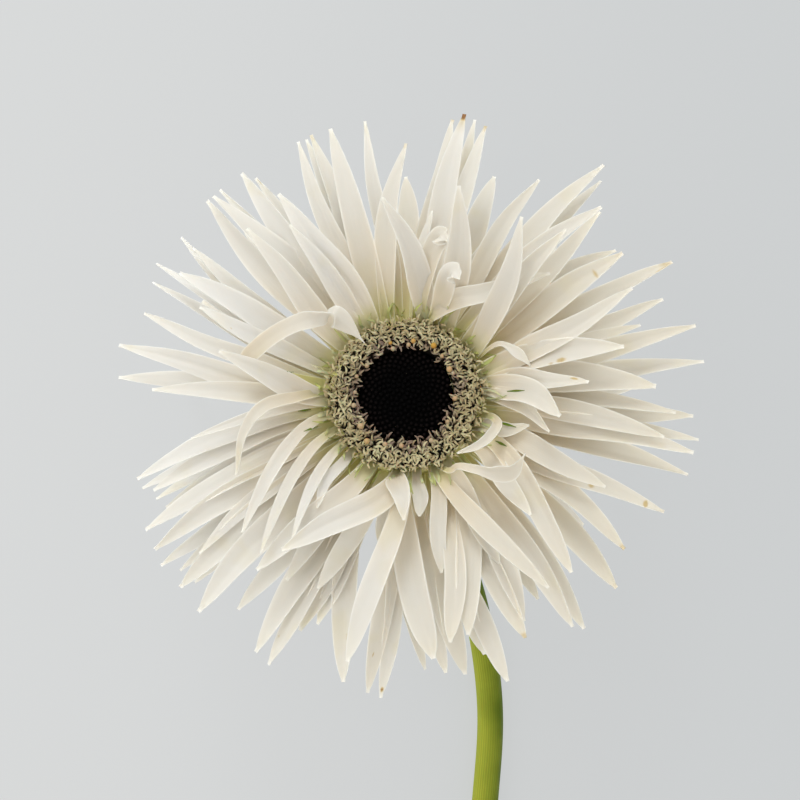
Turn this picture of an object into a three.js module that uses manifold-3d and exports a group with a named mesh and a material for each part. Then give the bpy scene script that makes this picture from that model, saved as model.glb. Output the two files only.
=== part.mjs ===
// A cut gerbera of the spider kind, laid on its back on a flat surface. Millimetres and degrees.
// +Z is up and z = 0 is the surface. The face looks up, and the stem lies along the surface towards -Y.
// The origin is on the surface, under the middle of the flower's own box.
//
// The head has a frame of its own: its centre is the middle of the face, bearings run anticlockwise
// from +X as seen from in front, and heights are measured along the face's axis, towards the viewer.
import * as THREE from "three";
import { mergeVertices } from "three/addons/utils/BufferGeometryUtils.js";
import Module from "manifold-3d";

// ---- Driving dimensions ----
const HEAD_CENTRE = new THREE.Vector3(-0.7, 142.4, 40);
const FACE_TILT = 12; // how far the face looks away from straight up, towards +Y
const FACE_LEAN = 4; // and towards -X
const VIEW_DISTANCE = 440; // reaches are read from this far in front of the face

const DISC_RADIUS = 9.3; // the dark disc of closed florets
const RING_RADIUS = 15.6; // outside of the ring of trans florets round it
const CUP_DEPTH = 19; // from the face back to the top of the stem
const GAP = 0.3; // between pieces that sit on each other

const STEM_RADIUS = 2.8;
const STEM_TOP_RADIUS = 3.5;
const STEM_CUT_RADIUS = 3.3;
const STEM_SIDES = 12;

// ---- The head's frame ----
const rad = THREE.MathUtils.degToRad;
const faceTurn = new THREE.Euler(rad(-FACE_TILT), rad(-FACE_LEAN), 0);
const faceAxis = new THREE.Vector3(0, 0, 1).applyEuler(faceTurn);

// A point given in the face's own bearing, radius and height, along the row's axes from the head's centre.
function onFace(bearing, radius, height) {
  const b = rad(bearing);
  return new THREE.Vector3(radius * Math.cos(b), radius * Math.sin(b), height).applyEuler(faceTurn);
}

// A point that shows at a bearing and a reach from in front, a rise over the tilted face.
function asSeen(bearing, reach, rise) {
  const b = rad(bearing);
  const p = new THREE.Vector3(reach * Math.cos(b), reach * Math.sin(b), 0);
  const height = rise - (faceAxis.x * p.x + faceAxis.y * p.y) / faceAxis.z;
  return p.multiplyScalar(1 - height / VIEW_DISTANCE).setZ(height);
}

// Repeatable draws between -1 and 1.
const DRAW_STATES = 4294967296;
function draws(seed) {
  let state = seed;
  return () => {
    state = (state * 1664525 + 1013904223) % DRAW_STATES;
    return (2 * state) / DRAW_STATES - 1;
  };
}

// ---- Solids ----
const wasm = await Module();
wasm.setup();

function toSolid(geometry) {
  const bare = new THREE.BufferGeometry().setAttribute("position", geometry.getAttribute("position"));
  bare.setIndex(geometry.index);
  const merged = mergeVertices(bare, 1e-4);
  const vertProperties = merged.attributes.position.array;
  const triVerts = new Uint32Array(merged.index.array);
  return new wasm.Manifold(new wasm.Mesh({ numProp: 3, vertProperties, triVerts }));
}

function toGeometry(solid) {
  const mesh = solid.getMesh();
  const positions = new THREE.BufferAttribute(mesh.vertProperties, 3);
  const geometry = new THREE.BufferGeometry().setAttribute("position", positions);
  geometry.setIndex(new THREE.BufferAttribute(mesh.triVerts, 1));
  geometry.computeVertexNormals();
  return geometry;
}

// Joins a core and everything that grows from it into one solid. Its largest body is kept, which fills
// the small hollows that blades seal between them.
function fuse(geometries) {
  const joined = wasm.Manifold.union(geometries.map(toSolid)).simplify(SLIVER);
  return joined.decompose().reduce((largest, body) => (body.volume() > largest.volume() ? body : largest));
}
const SLIVER = 0.004; // edges shorter than this are closed up after a join

// A closed skin through rings of points, flat at the start, and flat or drawn to a tip at the end.
// Neighbouring sides are split along mirrored diagonals, so that a thin blade's two faces stay apart.
function loft(rings, tip) {
  const sides = rings[0].length;
  const points = rings.flat();
  const index = [];
  for (let r = 0; r + 1 < rings.length; r++) {
    for (let s = 0; s < sides; s++) {
      const a = r * sides + s;
      const b = r * sides + ((s + 1) % sides);
      const [c, d] = [b + sides, a + sides];
      if (s % 2) index.push(a, b, d, b, c, d);
      else index.push(a, b, c, a, c, d);
    }
  }
  const last = (rings.length - 1) * sides;
  for (let s = 1; s + 1 < sides; s++) {
    index.push(0, s + 1, s);
    if (!tip) index.push(last, last + s, last + s + 1);
  }
  if (tip) {
    for (let s = 0; s < sides; s++) index.push(last + s, last + ((s + 1) % sides), points.length);
    points.push(tip);
  }
  return new THREE.BufferGeometry().setFromPoints(points).setIndex(index);
}

// A turned solid about the head's axis, from a profile of [radius, height].
function turned(profile, segments) {
  const points = profile.map(([radius, height]) => new THREE.Vector2(radius, height));
  return new THREE.LatheGeometry(points, segments).rotateX(Math.PI / 2);
}

// ---- Blades: ray florets and bracts ----
const STATIONS = [0, 0.28, 0.57, 0.84]; // shares of the length that hold a cross-section
const ROOT_WIDTH = 0.42; // width at the root, as a share of the greatest
const WIDEST = 0.5; // where the blade is widest, as a share of its length

function widthShare(t) {
  if (t < WIDEST) return ROOT_WIDTH + (1 - ROOT_WIDTH) * THREE.MathUtils.smoothstep(t, 0, WIDEST);
  return 1 - ((t - WIDEST) / (1 - WIDEST)) ** 1.9;
}

// A pointed blade along a line: upper and lower ribs in the middle, thin edges raised into a channel.
// The upper side looks along `facing`, rolled by `roll` degrees at the root and `twist` more at the tip.
function blade(line, { width, thickness, channel, roll = 0, twist = 0, facing, stations = STATIONS }) {
  const rings = stations.map((t) => {
    const p = line.getPoint(t);
    const along = line.getTangent(t);
    const up = facing.clone().addScaledVector(along, -facing.dot(along)).normalize();
    up.applyAxisAngle(along, rad(roll + twist * t));
    const side = new THREE.Vector3().crossVectors(along, up);
    const half = (width / 2) * widthShare(t);
    const edge = p.clone().addScaledVector(up, channel * half);
    return [
      edge.clone().addScaledVector(side, -half),
      p.clone().addScaledVector(up, thickness / 2),
      edge.clone().addScaledVector(side, half),
      p.clone().addScaledVector(up, -thickness / 2),
    ];
  });
  return loft(rings, line.getPoint(1));
}

// ---- Ray florets ----
const RAY_CORE_RADIUS = 15.2;
const RAY_CORE_TOP = -2;
const RAY_CORE_BOTTOM = -6.9;
const RAY_ROOT_RADIUS = 13.4; // the roots are sunk this far into the core
const RAY_THICKNESS = 0.9;
const RAY_SEED = 12;
const SAG = 6; // how far the florets at the stem's side have dropped back
const BENT_STATIONS = [0, 0.14, 0.28, 0.42, 0.56, 0.7, 0.82, 0.92];

// Each whorl's florets, as they lie on this flower:
// [bearing of the root, bearing of the tip, reach of the tip, its rise over the face, width].
const WHORLS = [
  {
    depth: -5.6,
    start: 6, // the angle at which the florets leave the face
    droop: 0.1, // how far the tip turns back, as a share of the length
    florets: [
      [7, 6.6, 59.4, -1, 5.5], [16, 16.8, 48.5, 1, 4.5], [20, 20.6, 54.4, -1, 4.5], [27, 26.7, 59, 0, 5.5],
      [48, 34.7, 50.6, -2, 4.6], [50, 47.8, 57.5, -1, 4.5], [66, 60.7, 40.5, 0, 4.5], [75, 76, 56.4, -2, 4.5],
      [84, 80.4, 55.5, -1, 5], [97, 98.5, 55, 2, 4], [108, 110, 55, 2, 5], [111, 111.2, 54.5, -1, 4],
      [120, 124.6, 52.4, 1, 4.5], [130, 132, 55, -2, 4], [157, 144.8, 54.5, -2, 3.5], [151, 145.2, 51.3, 1, 4],
      [161, 155.8, 55, -1, 3.5], [168, 163.4, 49.3, 1, 4], [175, 176.3, 57, -3, 5], [192, 199.3, 55.3, -4, 4],
      [195, 202.4, 53.5, -2, 4], [212, 214.7, 59, -4, 4.5], [216, 217.7, 56.5, -2, 4], [221, 221.5, 55.8, -5, 4.5],
      [233, 231.8, 53.8, -1, 5], [240, 239.6, 58.8, -2, 6], [244, 242.9, 59.8, -3, 5.5], [247, 245.7, 51, -1, 5.5],
      [250, 248.8, 48.5, 0, 5], [243, 257.6, 58, -2, 5.4], [266, 262.6, 59.3, -2, 4.5], [268, 265.2, 60, -3, 4],
      [262, 274, 54.3, -5, 4], [274, 278.2, 55.4, -4, 4], [277, 282, 56.4, -3, 5.5], [282, 286.9, 53.5, -2, 5],
      [283, 289.6, 60, -2, 4.6], [306, 303, 48, -4, 4], [314, 307.4, 58, -2, 5], [325, 317.6, 56.4, -1, 5.5],
      [345, 344.4, 58, 0, 5.5], [351, 351.5, 58.6, -3, 5], [355, 356, 57, -2, 5],
    ],
  },
  {
    depth: -4.4,
    start: 22,
    droop: 0.08,
    florets: [
      [10, 2.1, 49.5, 6, 7], [10, 13.6, 59, 4, 5.5], [31, 33.4, 51.4, 8, 6.5], [37, 43.5, 53, 9, 5],
      [52, 44, 53.8, 6, 5.5], [55, 49.4, 60.2, 2, 5.5], [62, 58.4, 50.3, 6, 4.5], [76, 73.5, 55.7, 1, 5],
      [80, 78.3, 57, 4, 5.5], [82, 77, 34, 12, 4.5], [84, 82, 37, 5, 3.5], [104, 90, 50, 8, 5],
      [106, 105.8, 55, 5, 6], [116, 113, 54.7, 3, 4.5], [127, 126.4, 54.8, 4, 6], [128, 134, 55, 5, 6.5],
      [141, 135.5, 55.2, 2, 6], [151, 151.5, 51, 6, 5.5], [158, 152, 56, 2, 3], [160, 156.7, 44.5, 6, 4],
      [170, 162.5, 54.4, 4, 4], [177, 169.9, 57.7, 4, 5.5], [179, 178.6, 50.3, 7, 5], [186, 197.2, 55.7, 6, 5],
      [190, 200.5, 53.4, 5, 5], [198, 204.9, 52.4, 1, 4], [203, 207.2, 58, 5, 6], [208, 211.4, 58.3, 5, 6],
      [211, 217.3, 51.5, 5, 4], [216, 220.3, 58.6, 2, 6], [223, 226.1, 59.3, 2, 6.5], [238, 237, 43.4, 3, 4.5],
      [254, 245.4, 42, 6, 4.5], [262, 261.4, 31.4, 4, 4], [266, 276, 52.3, 4, 6.5], [294, 280.1, 49.6, 9, 4.6],
      [302, 284.5, 48.9, 8, 5.5], [296, 296.2, 53.4, 4, 5], [305, 297.6, 50.4, 5, 5.5], [310, 305.8, 56.4, 3, 5],
      [331, 335.8, 56, 1, 5], [333, 324.9, 52.8, 4, 5.5], [350, 348.8, 58, 5, 5.5], [357, 350.9, 51.7, 7, 5],
      [362, 356.4, 53.5, 3, 4],
    ],
  },
  {
    depth: -3.2,
    start: 46,
    droop: 0.05,
    florets: [
      [4, -14, 29.2, 12, 3.5], [8, 4.3, 36.2, 14, 4.5], [9, -7.5, 30.7, 16, 6], [13, 25.5, 49.6, 14, 5.5],
      [18, 12.7, 44.2, 12, 6], [33, 57.2, 42.2, 20, 5.5], [41, 46.2, 45.7, 14, 5], [60, 76, 42.9, 20, 6],
      [68, 70, 27, 14, 4.5], [301, 299, 38, 7, 4], [75, 97, 39.6, 22, 5.5], [115, 122.3, 47.3, 14, 6],
      [121, 124.3, 41, 14, 4.5], [139, 133.5, 45.7, 14, 5.5], [181, 166.5, 38.1, 16, 5.5], [183, 191.2, 43.4, 9, 2.6],
      [191, 219.8, 42.3, 14, 3], [204, 227.2, 42.4, 13, 2.8], [216, 231.7, 36.6, 13, 2.6], [223, 231.5, 28.3, 10, 2.6],
      [242, 229.3, 45.4, 9, 5.5], [266, 231, 39.2, 16, 6], [270, 257.4, 53.9, 10, 5], [278, 276.4, 24, 8, 3.4],
      [292, 306.5, 47.3, 12, 4.2], [290, 281.2, 35.7, 7, 3.6], [334, 313.1, 47.9, 10, 4.8], [324, 316.3, 34.1, 12, 4.5],
      [338, 335.4, 43.4, 8, 5], [335, 346.4, 25, 8, 3.4],
    ],
  },
];

// Florets that are bent over: points [bearing, reach, rise] along each, from the root's edge to the tip.
const BENT_FLORETS = [
  {
    width: 4.6,
    points: [[172, 15, -3], [171, 25, 3], [168.5, 32, 8], [161, 30.6, 12], [152, 27.8, 14.4], [143.4, 25, 15.6],
      [137, 22.7, 15.8], [131.5, 21, 14.6], [129.2, 17, 12], [128.3, 13.4, 9.6]],
  },
  { width: 3, points: [[177, 15, -3], [179, 21, 5], [184, 28, 11], [194, 33, 11], [205, 37.2, 8]] },
  { width: 2.4, points: [[27, 15, -3], [29, 19.5, 4], [27.5, 22, 6.5], [21, 24, 7.5], [12.6, 25.6, 6.5]] },
  {
    width: 3.8,
    points: [[294, 15, -3], [300, 16.9, 3.3], [307, 17.2, 7], [313.5, 20, 9], [318.5, 23.6, 10], [325, 25.8, 12.5],
      [334, 26.2, 16]],
  },
  {
    width: 2.4,
    points: [[346, 15, -3], [347, 18, 3], [343, 19.2, 6.5], [333, 17.8, 8.4], [322, 16.3, 8.6], [311.5, 15.2, 7.6]],
  },
  { width: 4.8, points: [[262, 15, -3], [264, 17, 3], [267, 20, 8], [269, 24.6, 8.5]] },
  {
    width: 4.6,
    points: [[76, 15, -3], [70, 17.6, 4], [62, 21.4, 7], [54.6, 25.2, 7.2], [45.5, 32.1, 7], [40.5, 37.4, 8.5]],
  },
];

// The outermost florets turn right back, and some of them rest on the surface with their tips:
// [bearing, reach of the tip, its height over the surface]. Those that rest there are cut flat by it.
const SKIRT_DEPTH = -6;
const SKIRT_WIDTH = 5.2;
const SKIRT = [
  [-36, 46, 15], [-12, 49, -0.5], [3, 50, 9], [26, 47, 16], [47, 49, -0.5], [68, 50, 11], [90, 46, 14], [112, 49, -0.5],
  [134, 50, 8], [155, 47, 15], [172, 49, -0.5], [201, 49, 10], [219, 45, 17],
];

function rayLine(depth, start, droop, [rootBearing, tipBearing, reach, rise]) {
  const root = onFace(rootBearing, RAY_ROOT_RADIUS, depth);
  const tip = asSeen(tipBearing, reach, rise - SAG * Math.max(0, -Math.sin(rad(tipBearing))));
  const length = root.distanceTo(tip);
  const out = onFace(rootBearing, Math.cos(rad(start)), Math.sin(rad(start)));
  const leaving = root.clone().addScaledVector(out, 0.36 * length);
  const heading = tip.clone().sub(leaving).normalize().addScaledVector(faceAxis, -droop * 3).normalize();
  const arriving = tip.clone().addScaledVector(heading, -0.3 * length);
  return new THREE.CubicBezierCurve3(root, leaving, arriving, tip);
}

function skirtLine([bearing, reach, height]) {
  const root = onFace(bearing, RAY_ROOT_RADIUS, SKIRT_DEPTH);
  const b = rad(bearing);
  const tip = new THREE.Vector3(reach * Math.cos(b), reach * Math.sin(b), height - HEAD_CENTRE.z);
  const leaving = root.clone().add(onFace(bearing, 19, 0));
  const arriving = tip.clone().multiplyScalar(0.84).setZ((tip.z + root.z) / 2);
  return new THREE.CubicBezierCurve3(root, leaving, arriving, tip);
}

function rayFlorets() {
  const draw = draws(RAY_SEED);
  const style = () => ({
    thickness: RAY_THICKNESS,
    roll: 20 * draw(),
    twist: 22 * draw(),
    channel: 0.25 + 0.1 * draw(),
    facing: faceAxis,
  });
  const core = turned(
    [[0, RAY_CORE_BOTTOM], [RAY_CORE_RADIUS, RAY_CORE_BOTTOM], [RAY_CORE_RADIUS, RAY_CORE_TOP], [0, RAY_CORE_TOP]],
    36,
  ).applyMatrix4(new THREE.Matrix4().makeRotationFromEuler(faceTurn));
  const blades = [core];
  for (const { depth, start, droop, florets } of WHORLS) {
    for (const floret of florets) {
      blades.push(blade(rayLine(depth, start, droop, floret), { width: floret[4], ...style() }));
    }
  }
  for (const { width, points } of BENT_FLORETS) {
    const route = points.map(([bearing, reach, rise]) => asSeen(bearing, reach, rise));
    const line = new THREE.CatmullRomCurve3(route, false, "catmullrom", 0.5);
    blades.push(blade(line, { ...style(), width, twist: 0, roll: 0, stations: BENT_STATIONS }));
  }
  for (const floret of SKIRT) {
    blades.push(blade(skirtLine(floret), { ...style(), width: SKIRT_WIDTH, twist: 0, roll: 0 }));
  }
  // What lies on the surface is flat there.
  return toGeometry(fuse(blades).trimByPlane([0, 0, 1], -HEAD_CENTRE.z));
}

// ---- Trans florets: the ring of short curled florets ----
// Rows of them from the inside out: `lean` is how far each one's tip hangs over, inwards or outwards.
const RING_ROWS = [
  { count: 22, radius: 11, height: 0.2, lean: -0.8 },
  { count: 24, radius: 12.4, height: 0.8, lean: 0.9 },
  { count: 30, radius: 13.9, height: 0.9, lean: 1.5 },
];
const HORN = { foot: 1.1, knee: 1.3, sunk: 0.6, kneeHeight: 2, tipHeight: 3.2 };
const RING_SEED = 5;

// One curled floret: a three-sided horn that leans over towards its tip.
function horn(bearing, swerve, { radius, height, lean }) {
  const axis = new THREE.Vector3(0, 0, 1);
  const b = rad(bearing);
  const foot = new THREE.Vector3(radius * Math.cos(b), radius * Math.sin(b), height - HORN.sunk);
  const over = new THREE.Vector3(lean * Math.cos(b + swerve), lean * Math.sin(b + swerve), 0);
  const ring = (centre, size) =>
    [0, 120, 240].map((turn) => {
      const spoke = new THREE.Vector3(size, 0, 0).applyAxisAngle(axis, b + rad(turn));
      return centre.clone().add(spoke);
    });
  const knee = foot.clone().addScaledVector(axis, HORN.kneeHeight).addScaledVector(over, 0.25);
  const tip = foot.clone().addScaledVector(axis, HORN.tipHeight).add(over);
  return loft([ring(foot, HORN.foot), ring(knee, HORN.knee)], tip);
}

function transFlorets() {
  const inner = DISC_RADIUS + GAP;
  const profile = [
    [inner, -1.7], [12.9, -1.7], [RING_RADIUS - 1, 0], [12.4, 0.9], [inner, 0], [inner, -1.7],
  ];
  const pieces = [turned(profile, 24)];
  const draw = draws(RING_SEED);
  RING_ROWS.forEach((row, r) => {
    for (let i = 0; i < row.count; i++) {
      pieces.push(horn(((i + r / 2) * 360) / row.count + 2 * draw(), draw(), row));
    }
  });
  return toGeometry(fuse(pieces));
}

// ---- Disc florets: closed buds in the spirals of a golden-angle pattern ----
const BUD_COUNT = 60;
const GOLDEN_ANGLE = 137.508;
const BUD_FIELD_RADIUS = 7.9;
const DOME_HEIGHT = 1.9;
const domeHeight = (radius) => DOME_HEIGHT - 1.5 * (radius / DISC_RADIUS) ** 2;

function discFlorets() {
  const rim = [DISC_RADIUS * 0.8, DISC_RADIUS * 0.45].map((radius) => [radius, domeHeight(radius)]);
  const profile = [[0, -1.7], [DISC_RADIUS, -1.7], [DISC_RADIUS, domeHeight(DISC_RADIUS)], ...rim, [0, DOME_HEIGHT]];
  const pieces = [turned(profile, 24)];
  for (let i = 0; i < BUD_COUNT; i++) {
    const radius = BUD_FIELD_RADIUS * Math.sqrt((i + 0.5) / BUD_COUNT);
    const b = rad(i * GOLDEN_ANGLE);
    const bud = new THREE.CylinderGeometry(0.7, 1.3, 1.8, 4).rotateX(Math.PI / 2).rotateZ(b);
    pieces.push(bud.translate(radius * Math.cos(b), radius * Math.sin(b), domeHeight(radius)));
  }
  return toGeometry(fuse(pieces));
}

// ---- Involucre: the green cup under the florets, with two rows of bracts ----
const CUP_TOP = RAY_CORE_BOTTOM - GAP;
const BRACT_ROWS = [
  { count: 16, foot: [6.5, -17], elbow: [12.6, -14.8], tip: [16.2, -10], width: 3.4 },
  { count: 16, foot: [9.5, -14.6], elbow: [14.6, -11.9], tip: [18.8, -9.3], width: 3 },
];

function involucre() {
  const profile = [
    [0, -CUP_DEPTH], [STEM_TOP_RADIUS, -CUP_DEPTH], [7.2, -17.2], [10.8, -14.2], [13.3, -10.6], [14.4, CUP_TOP],
    [0, CUP_TOP],
  ];
  const axis = new THREE.Vector3(0, 0, 1);
  const pieces = [turned(profile, 24)];
  BRACT_ROWS.forEach(({ count, foot, elbow, tip, width }, row) => {
    for (let i = 0; i < count; i++) {
      const b = (2 * Math.PI * (i + row / 2)) / count;
      const at = ([radius, height]) => new THREE.Vector3(radius * Math.cos(b), radius * Math.sin(b), height);
      const line = new THREE.QuadraticBezierCurve3(at(foot), at(elbow), at(tip));
      pieces.push(blade(line, { width, thickness: 1, channel: 0.1, facing: axis, stations: [0, 0.5] }));
    }
  });
  return toGeometry(fuse(pieces));
}

// ---- Stem: bends out of the head's back, then lies along the surface ----
const NECK_STEPS = 8;
const ROUTE_STEPS = 24;
const stemHeight = (radius) => radius * Math.cos(Math.PI / STEM_SIDES); // its underside is a flat, at z = 0

// The route along the surface after the bend, as [x, y] from the head's centre.
const STEM_ROUTE = [[15, -45], [18.1, -66], [17, -87], [13.6, -118], [9.4, -165], [5.6, -225], [3.6, -285], [3.4, -342]];

function stemLine() {
  const top = onFace(0, 0, -CUP_DEPTH - GAP);
  const floor = stemHeight(STEM_RADIUS) - HEAD_CENTRE.z;
  const steepness = Math.acos(Math.hypot(faceAxis.x, faceAxis.y));
  const heading = new THREE.Vector3(-faceAxis.x, -faceAxis.y, 0).normalize();
  const bend = (top.z - floor) / (1 - Math.cos(steepness));
  const points = [];
  for (let i = 0; i < NECK_STEPS; i++) {
    const angle = steepness * (1 - i / NECK_STEPS);
    const run = bend * (Math.sin(steepness) - Math.sin(angle));
    points.push(top.clone().addScaledVector(heading, run).setZ(floor + bend * (1 - Math.cos(angle))));
  }
  const landing = top.clone().addScaledVector(heading, bend * Math.sin(steepness)).setZ(floor);
  const route = [landing, ...STEM_ROUTE.map(([x, y]) => new THREE.Vector3(x, y, floor))];
  const along = new THREE.CatmullRomCurve3(route, false, "catmullrom", 0.5);
  for (let i = 0; i <= ROUTE_STEPS; i++) points.push(along.getPoint(i / ROUTE_STEPS));
  return points;
}

function stem() {
  const points = stemLine();
  const last = points.length - 1;
  const vertical = new THREE.Vector3(0, 0, 1);
  const rings = points.map((p, i) => {
    const along = points[Math.min(i + 1, last)].clone().sub(points[Math.max(i - 1, 0)]).normalize();
    if (i === 0) along.copy(faceAxis).negate();
    const side = new THREE.Vector3().crossVectors(along, vertical).normalize();
    const up = new THREE.Vector3().crossVectors(side, along);
    const flare = THREE.MathUtils.lerp(STEM_TOP_RADIUS, STEM_RADIUS, Math.min(1, i / NECK_STEPS));
    const swell = THREE.MathUtils.lerp(0, STEM_CUT_RADIUS - STEM_RADIUS, Math.max(0, i - NECK_STEPS) / ROUTE_STEPS);
    const radius = flare + swell;
    const centre = p.clone().addScaledVector(vertical, i < NECK_STEPS ? 0 : stemHeight(swell));
    return Array.from({ length: STEM_SIDES }, (_, s) => {
      const turn = ((s + 0.5) * 2 * Math.PI) / STEM_SIDES;
      return centre.clone().addScaledVector(side, -radius * Math.cos(turn)).addScaledVector(up, radius * Math.sin(turn));
    });
  });
  return loft(rings);
}

// ---- Materials and assembly ----
const finish = (color, roughness) => new THREE.MeshStandardMaterial({ color, roughness, metalness: 0 });
const PETAL = finish(0xece6d8, 0.6);
const TRANS = finish(0xa9a389, 0.75);
const DISC = finish(0x140b10, 0.5);
const BRACT = finish(0x7d9433, 0.7);
const STEM = finish(0x7c9226, 0.55);

function node(name, geometry, material) {
  const mesh = new THREE.Mesh(geometry, material);
  mesh.name = name;
  return mesh;
}

const head = new THREE.Group();
head.position.copy(HEAD_CENTRE);
const face = new THREE.Group();
face.rotation.copy(faceTurn);
face.add(node("disc_florets", discFlorets(), DISC));
face.add(node("trans_florets", transFlorets(), TRANS));
face.add(node("involucre", involucre(), BRACT));
head.add(face);
head.add(node("ray_florets", rayFlorets(), PETAL));
head.add(node("stem", stem(), STEM));

const gerbera = new THREE.Group();
gerbera.add(head);

export default gerbera;
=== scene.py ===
# %% [markdown]
# # A cut white gerbera, laid on its back
#
# The solid model gives a spider gerbera its size and its place: a ring of ray florets, a ring of short
# curled florets, a dark disc, a green cup behind them and a long bare stem. Its petals are thick and faceted.
# This lesson replaces each solid with the thin, veined and slightly marked thing that it stands for, and
# then lights it softly from the picture's top.

# %% Load the solid model
import math

import bmesh
import bpy
from mathutils import Matrix, Quaternion, Vector


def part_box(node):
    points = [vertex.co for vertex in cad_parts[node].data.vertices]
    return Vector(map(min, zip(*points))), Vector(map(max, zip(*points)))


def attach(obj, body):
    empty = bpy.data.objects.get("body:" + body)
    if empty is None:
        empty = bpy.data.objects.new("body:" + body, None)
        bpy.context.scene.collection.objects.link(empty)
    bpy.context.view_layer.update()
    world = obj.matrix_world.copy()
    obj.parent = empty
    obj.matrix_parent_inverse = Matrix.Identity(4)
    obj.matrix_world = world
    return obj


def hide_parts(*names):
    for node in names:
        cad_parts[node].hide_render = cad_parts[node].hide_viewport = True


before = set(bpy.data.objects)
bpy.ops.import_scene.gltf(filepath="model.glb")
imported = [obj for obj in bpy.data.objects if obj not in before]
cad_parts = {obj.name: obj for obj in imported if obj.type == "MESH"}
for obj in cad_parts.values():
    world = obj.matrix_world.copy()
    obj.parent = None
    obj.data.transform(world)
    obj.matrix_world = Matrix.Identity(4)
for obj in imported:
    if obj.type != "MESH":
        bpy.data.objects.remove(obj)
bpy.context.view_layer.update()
print("nodes:", sorted(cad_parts))

# %% [markdown]
# ## The head's own frame
#
# A flower is easiest to describe as you would with it in your hand: a bearing round the face, a distance
# from its middle and a height over it. The solid model says where the head is and how its face tilts, so
# the same few numbers are repeated here. Everything on the head is modelled in millimetres round its
# centre, and one matrix then carries it to its place on the surface, in metres.

# %% Where the head is
MM = 0.001
HEAD_CENTRE = Vector((-0.7, 142.4, 40))  # the middle of the face, in millimetres
FACE_TILT = 12  # degrees that the face looks away from straight up, towards +Y
FACE_LEAN = 4  # and towards -X
VIEW_DISTANCE = 440  # reaches are read from this far in front of the face

FACE_TURN = (
    Matrix.Rotation(math.radians(-FACE_TILT), 3, "X") @ Matrix.Rotation(math.radians(-FACE_LEAN), 3, "Y")
)
FACE_AXIS = FACE_TURN @ Vector((0, 0, 1))
HEAD_TO_PLACE = Matrix.Translation(HEAD_CENTRE * MM) @ Matrix.Scale(MM, 4)
FACE_TO_PLACE = HEAD_TO_PLACE @ FACE_TURN.to_4x4()


def around(bearing, radius, height=0):
    """A point at a bearing in degrees, anticlockwise from +X."""
    angle = math.radians(bearing)
    return Vector((radius * math.cos(angle), radius * math.sin(angle), height))


def on_face(bearing, radius, height):
    """The same on the tilted face, in the surface's directions."""
    return FACE_TURN @ around(bearing, radius, height)


def as_seen(bearing, reach, rise):
    """The point that shows at a bearing and a reach from in front, at a rise over the tilted face."""
    point = around(bearing, reach)
    height = rise - (FACE_AXIS.x * point.x + FACE_AXIS.y * point.y) / FACE_AXIS.z
    point *= 1 - height / VIEW_DISTANCE
    point.z = height
    return point


disc_low, disc_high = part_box("disc_florets")
disc_offset = (disc_low + disc_high) / 2 - HEAD_CENTRE * MM
print("disc's middle from the head's centre, mm:", [round(v / MM, 1) for v in disc_offset])

# %% [markdown]
# ## Lines and repeatable draws
#
# A petal follows a line, and so does a stem. Two kinds are enough: a Bezier line pulled by its handles, and
# one that passes smoothly through chosen points. Python's own random module would do for the small
# differences between petals, but the solid model has already drawn how each petal rolls. Its short formula
# is repeated instead, so that each thin petal lies just where its solid does.


# %% Lines and draws
def bezier(*handles):
    def at(t):
        row = handles
        while len(row) > 1:
            row = [a.lerp(b, t) for a, b in zip(row, row[1:])]
        return row[0]

    return at


def through(points):
    def at(t):
        span = min(int(t * (len(points) - 1)), len(points) - 2)
        u = t * (len(points) - 1) - span
        b, c = points[span], points[span + 1]
        a = points[span - 1] if span else 2 * b - c
        d = points[span + 2] if span + 2 < len(points) else 2 * c - b
        leave, arrive = (c - a) / 2, (d - b) / 2
        cubic, square = 2 * b - 2 * c + leave + arrive, 3 * c - 3 * b - 2 * leave - arrive
        return cubic * u**3 + square * u**2 + leave * u + b

    return at


def heading(line, t, step=0.01):
    return (line(min(t + step, 1)) - line(max(t - step, 0))).normalized()


MULTIPLIER, INCREMENT, PERIOD = 1664525, 1013904223, 2**32  # as the solid model draws


def draws(seed):
    """Repeatable numbers between -1 and 1."""
    state = seed
    while True:
        state = (state * MULTIPLIER + INCREMENT) % PERIOD
        yield 2 * state / PERIOD - 1


def smooth(x):
    x = min(max(x, 0), 1)
    return x * x * (3 - 2 * x)


# %% [markdown]
# ## From a bmesh to a piece
#
# Each piece ends the same way. Its bmesh is carried to its place, so that the object itself can stay
# at the origin, unturned. It then rides on the root body, and stands for the solid that it replaces. Three
# numbers ride on its vertices for the materials to read: how far along a petal a point is, how far across,
# and a tone that differs from petal to petal. Two more say where a petal is bruised, and where in its ring
# a small floret stands.


# %% Finish a piece
LAYERS = ("along", "across", "tone", "bruise", "place")
CRISP = 1  # radians between faces, past which an edge is drawn sharp
THINNEST = 0.12  # how thick a petal is at its edge, in millimetres


def new_bmesh():
    bm = bmesh.new()
    for name in LAYERS:
        bm.verts.layers.float.new(name)
    return bm


def mark(bm, vert, **values):
    for name, value in values.items():
        vert[bm.verts.layers.float[name]] = value


def thicken(bm, thickness):
    """Gives a sheet an underside, which comes closer towards the edges and the tip."""
    bm.normal_update()
    under = bmesh.ops.extrude_face_region(bm, geom=bm.faces, use_keep_orig=True)["geom"]
    along, across = (bm.verts.layers.float[name] for name in ("along", "across"))
    for vert in under:
        if isinstance(vert, bmesh.types.BMVert):
            body = (1 - vert[across] ** 4) * (1 - vert[along] ** 4)
            vert.co -= vert.normal * (THINNEST + (thickness - THINNEST) * body)
    bmesh.ops.recalc_face_normals(bm, faces=bm.faces)
    for edge in bm.edges:
        edge.smooth = edge.calc_face_angle(0) < CRISP


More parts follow.
